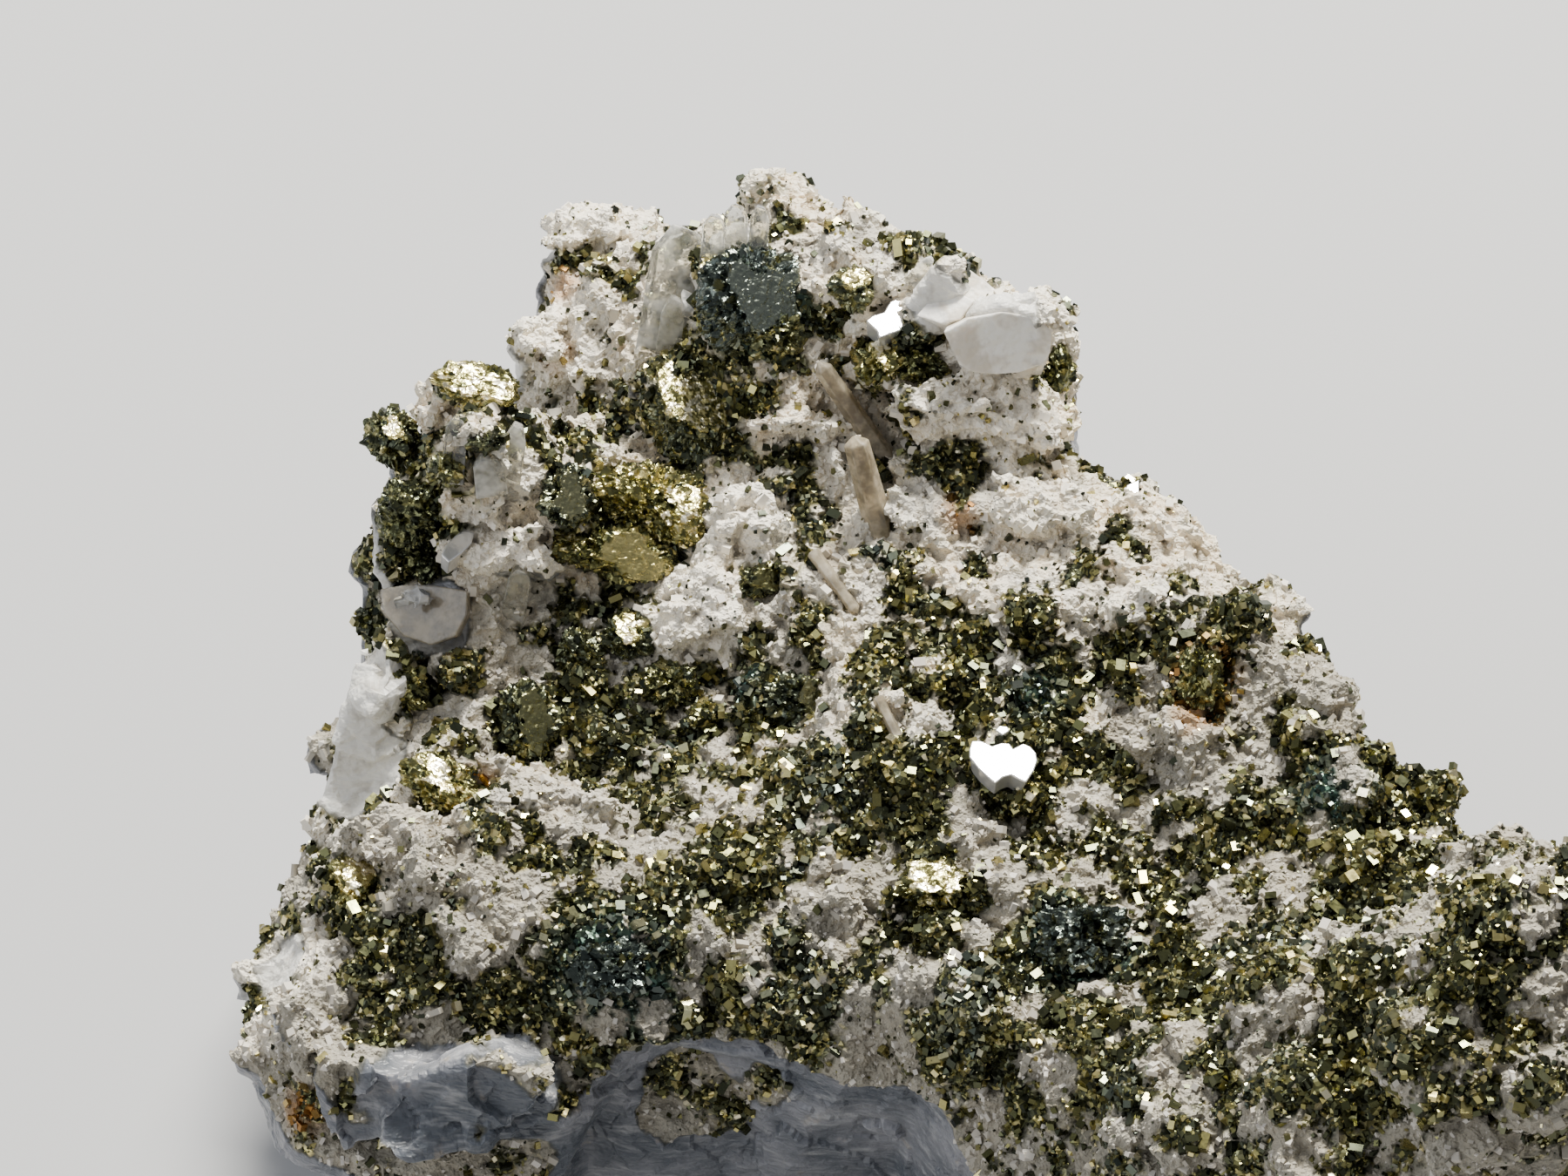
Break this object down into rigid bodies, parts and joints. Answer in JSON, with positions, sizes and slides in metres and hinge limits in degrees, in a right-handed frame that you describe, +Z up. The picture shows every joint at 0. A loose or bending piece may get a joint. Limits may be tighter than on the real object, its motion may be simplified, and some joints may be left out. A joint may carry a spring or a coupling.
{
  "type": "calcite with pyrite mineral specimen",
  "caption": "Broken piece of massive calcite, topped by a rough druse of chalky calcite, clear calcite tablets and pyrite clusters, resting on a flat cleavage face.",
  "frame": {"origin": "middle of the bounding box at the level of the flat resting face", "axes": "+Z up from the resting face through the druse; +Y away from the side that the druse slopes down to and the picture looks from; +X to the right in that view"},
  "size_m": [0.0353, 0.0346, 0.0215],
  "materials": {
    "calcite": "chalky calcite crust over grey-white translucent massive calcite, matt to waxy",
    "pyrite": "metallic pyrite, brass yellow to dark olive with blue-green tarnish",
    "clear_calcite": "clear to cloudy calcite crystal, see-through, vitreous"
  },
  "bodies": {
    "root": {"calcite_with_pyrite": "calcite"}
  },
  "joints": []
}
